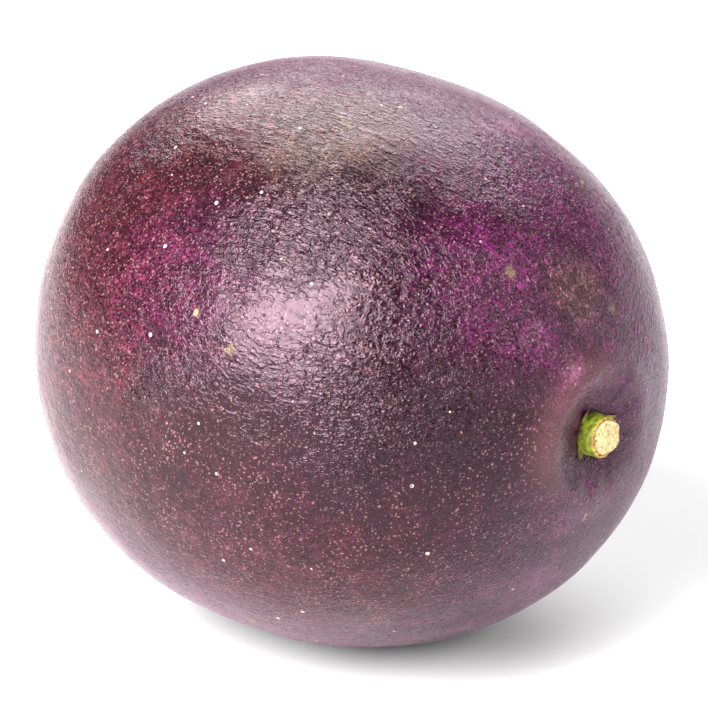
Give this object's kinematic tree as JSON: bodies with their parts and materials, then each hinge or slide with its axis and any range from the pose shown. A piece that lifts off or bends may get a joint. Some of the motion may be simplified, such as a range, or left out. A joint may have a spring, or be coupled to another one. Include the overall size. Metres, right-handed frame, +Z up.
{
  "type": "passion fruit",
  "caption": "Whole ripe purple passion fruit lying on its side, with a leathery rind, a shallow stem hollow and a short broken stalk stub.",
  "frame": {"origin": "on the resting surface, under the middle of the whole fruit's box", "axes": "+X along the fruit's own axis towards the stem end, +Z up from the surface that it rests on"},
  "size_m": [0.0578, 0.0506, 0.0507],
  "materials": {
    "rind": "satin",
    "stem": "matte"
  },
  "bodies": {
    "root": {"fruit": "rind", "stem_stub": "stem"}
  },
  "joints": []
}
